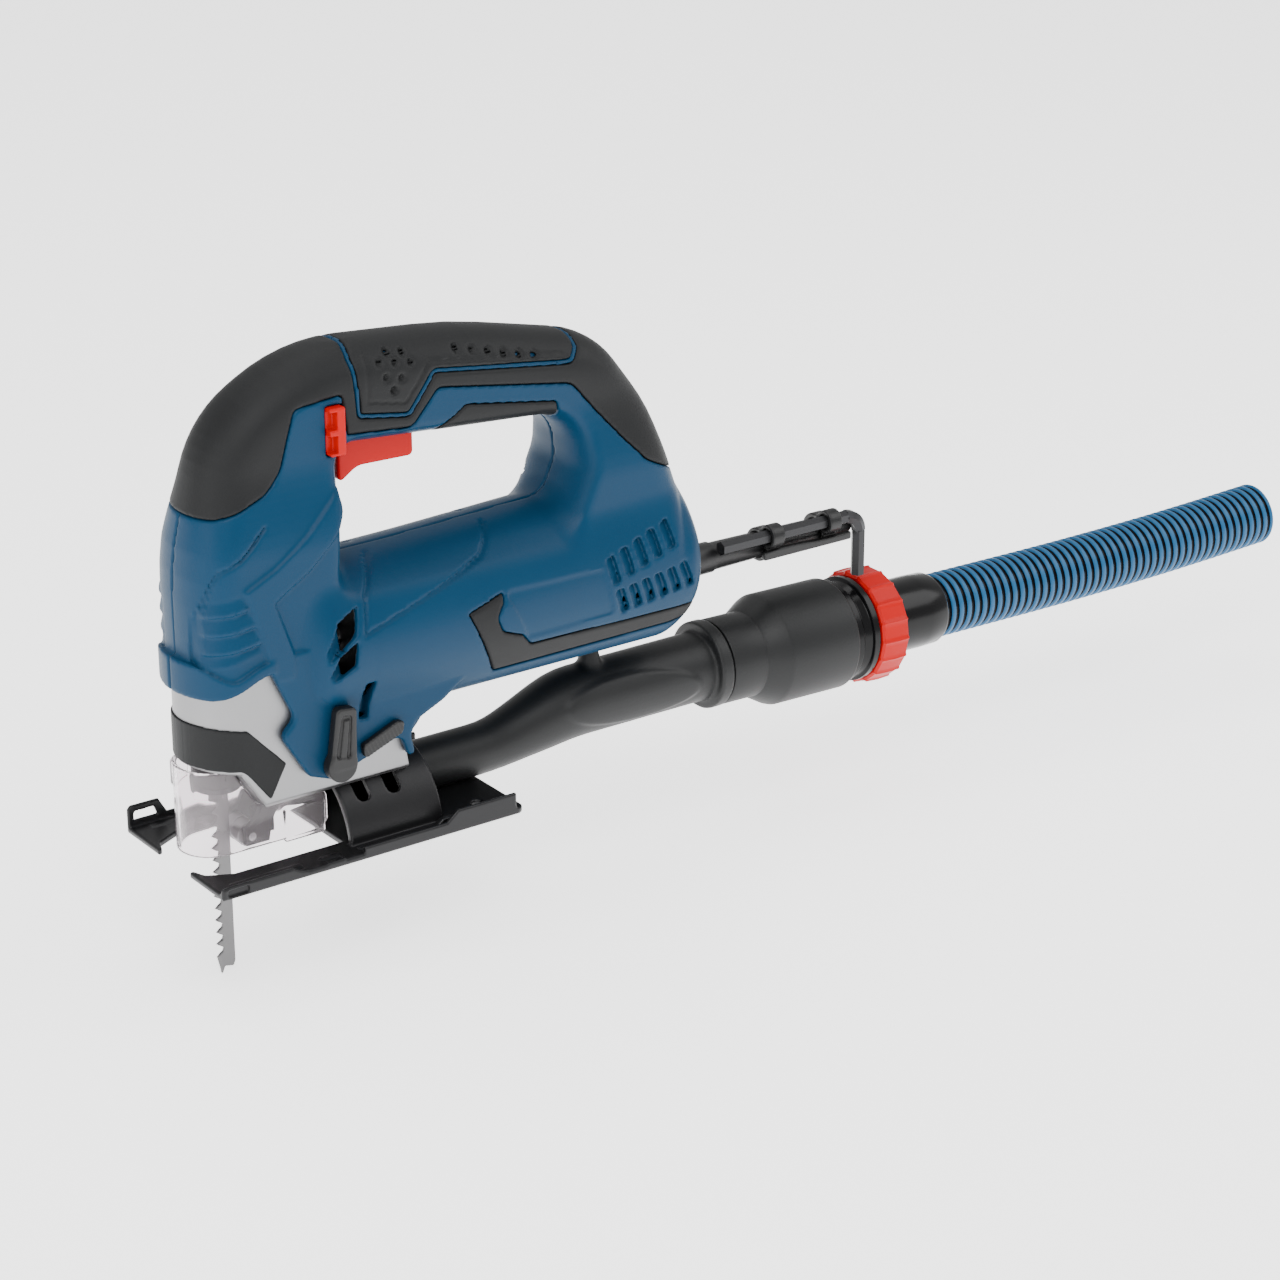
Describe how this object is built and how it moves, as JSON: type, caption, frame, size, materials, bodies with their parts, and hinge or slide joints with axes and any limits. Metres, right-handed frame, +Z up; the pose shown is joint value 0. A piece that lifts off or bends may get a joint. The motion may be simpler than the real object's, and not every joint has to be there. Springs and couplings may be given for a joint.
{
  "type": "jigsaw power tool",
  "caption": "Bow-handle jigsaw with a tilting base plate, orbital lever, clear chip guard, T-shank blade, suction duct and hose stub.",
  "frame": {"origin": "centre of the base plate's sole, in the plane that rests on the workpiece", "axes": "+X to the rear along the tool, +Y to the tool's right side, +Z up; the blade is at the front, -X"},
  "size_m": [0.5484, 0.072, 0.2359],
  "materials": {
    "blue_shell": "fine-grained blue nylon",
    "grip_rubber": "soft-touch dark grey rubber",
    "gear_case": "satin die-cast",
    "base_black": "black satin coating",
    "black_plastic": "moulded black plastic",
    "adapter_rubber": "moulded rubber",
    "neck_gloss": "smooth black plastic",
    "red_plastic": "red plastic",
    "hose_blue": "ribbed blue over black",
    "clear_guard": "clear polycarbonate",
    "steel": "machined steel",
    "dark_steel": "black oxide steel",
    "copper": "copper",
    "bronze": "sintered bronze and brass",
    "carbon": "pressed carbon"
  },
  "bodies": {
    "base": {"base_plate": "base_black", "suction_duct": "black_plastic", "hose_adapter": "adapter_rubber", "hose_neck": "neck_gloss", "hose_cuff": "neck_gloss", "suction_hose": "hose_blue"},
    "lock_ring": {"lock_ring": "red_plastic"},
    "housing": {"housing_left": "blue_shell", "housing_right": "blue_shell", "gear_case": "gear_case", "front_band": "grip_rubber", "nose_grip": "grip_rubber", "top_grip": "grip_rubber", "finger_grip": "grip_rubber", "bumper_left": "grip_rubber", "bumper_right": "grip_rubber", "switch_module": "black_plastic", "stator": "dark_steel", "front_bearing": "steel", "rear_bearing": "steel", "carbon_brushes": "carbon", "brush_holders": "bronze", "gear_axle": "steel", "lower_bush": "bronze", "upper_bush": "bronze", "tilt_screws": "steel", "clamp_washer": "steel", "housing_screws": "steel", "cable_sleeve": "black_plastic", "key_holder": "black_plastic"},
    "armature": {"armature": "steel", "commutator": "copper", "cooling_fan": "black_plastic"},
    "drive_gear": {"drive_gear": "steel"},
    "plunger": {"plunger": "steel", "blade_clamp": "dark_steel"},
    "clamp_ring": {"clamp_ring": "black_plastic"},
    "blade": {"saw_blade": "steel"},
    "roller_arm": {"roller_arm": "dark_steel", "roller_pin": "steel"},
    "guide_roller": {"guide_roller": "steel"},
    "orbit_lever": {"orbit_lever": "black_plastic"},
    "blower_slider": {"blower_slider": "black_plastic"},
    "trigger": {"trigger": "red_plastic"},
    "lock_button": {"lock_button": "red_plastic"},
    "chip_guard": {"chip_guard": "clear_guard"},
    "hex_key": {"hex_key": "dark_steel"}
  },
  "joints": [
    {"name": "bevel", "type": "hinge", "parent": "base", "child": "housing", "pos_m": [0, 0, 0], "axis": [1, 0, 0], "range_deg": [-45, 45]},
    {"name": "lock_ring_turn", "type": "hinge", "parent": "base", "child": "lock_ring", "pos_m": [0.172, 0, 0.0216], "axis": [0.9997, 0, -0.0227], "range_deg": [-40, 0]},
    {"name": "armature_spin", "type": "hinge", "parent": "housing", "child": "armature", "pos_m": [0.05, 0, 0.075], "axis": [1, 0, 0], "continuous": true},
    {"name": "drive_gear_spin", "type": "hinge", "parent": "housing", "child": "drive_gear", "pos_m": [-0.0275, 0, 0.0939], "axis": [1, 0, 0], "continuous": true},
    {"name": "plunger_stroke", "type": "slide", "parent": "housing", "child": "plunger", "axis": [0, 0, 1], "range_m": [-0.013, 0.013]},
    {"name": "clamp_ring_turn", "type": "hinge", "parent": "plunger", "child": "clamp_ring", "pos_m": [-0.0458, 0, 0.038], "axis": [0, 0, 1], "range_deg": [0, 75], "stiffness_Nm_per_rad": 0.02},
    {"name": "blade_release", "type": "slide", "parent": "plunger", "child": "blade", "axis": [0, 0, -1], "range_m": [0, 0.03]},
    {"name": "roller_swing", "type": "hinge", "parent": "housing", "child": "roller_arm", "pos_m": [-0.024, 0, 0.029], "axis": [0, 1, 0], "range_deg": [-5, 0]},
    {"name": "roller_spin", "type": "hinge", "parent": "roller_arm", "child": "guide_roller", "pos_m": [-0.0369, 0, 0.0076], "axis": [0, 1, 0], "continuous": true},
    {"name": "orbit_select", "type": "hinge", "parent": "housing", "child": "orbit_lever", "pos_m": [-0.0095, -0.027, 0.0355], "axis": [0, 1, 0], "range_deg": [-75, 0]},
    {"name": "blower_slide", "type": "slide", "parent": "housing", "child": "blower_slider", "axis": [0.93, 0, 0.3676], "range_m": [0, 0.004]},
    {"name": "trigger_press", "type": "slide", "parent": "housing", "child": "trigger", "axis": [0, 0, 1], "range_m": [0, 0.006], "stiffness_N_per_m": 900, "springref_m": -0.002},
    {"name": "lock_button_press", "type": "slide", "parent": "housing", "child": "lock_button", "axis": [0, 1, 0], "range_m": [0, 0.003], "stiffness_N_per_m": 600, "springref_m": -0.001},
    {"name": "guard_slide", "type": "slide", "parent": "housing", "child": "chip_guard", "axis": [-1, 0, 0], "range_m": [0, 0.003]},
    {"name": "hex_key_slide", "type": "slide", "parent": "housing", "child": "hex_key", "axis": [1, 0, 0], "range_m": [0, 0.08]}
  ],
  "couplings": [
    {"joint": "drive_gear_spin", "follows": "armature_spin", "ratio": -0.2}
  ]
}
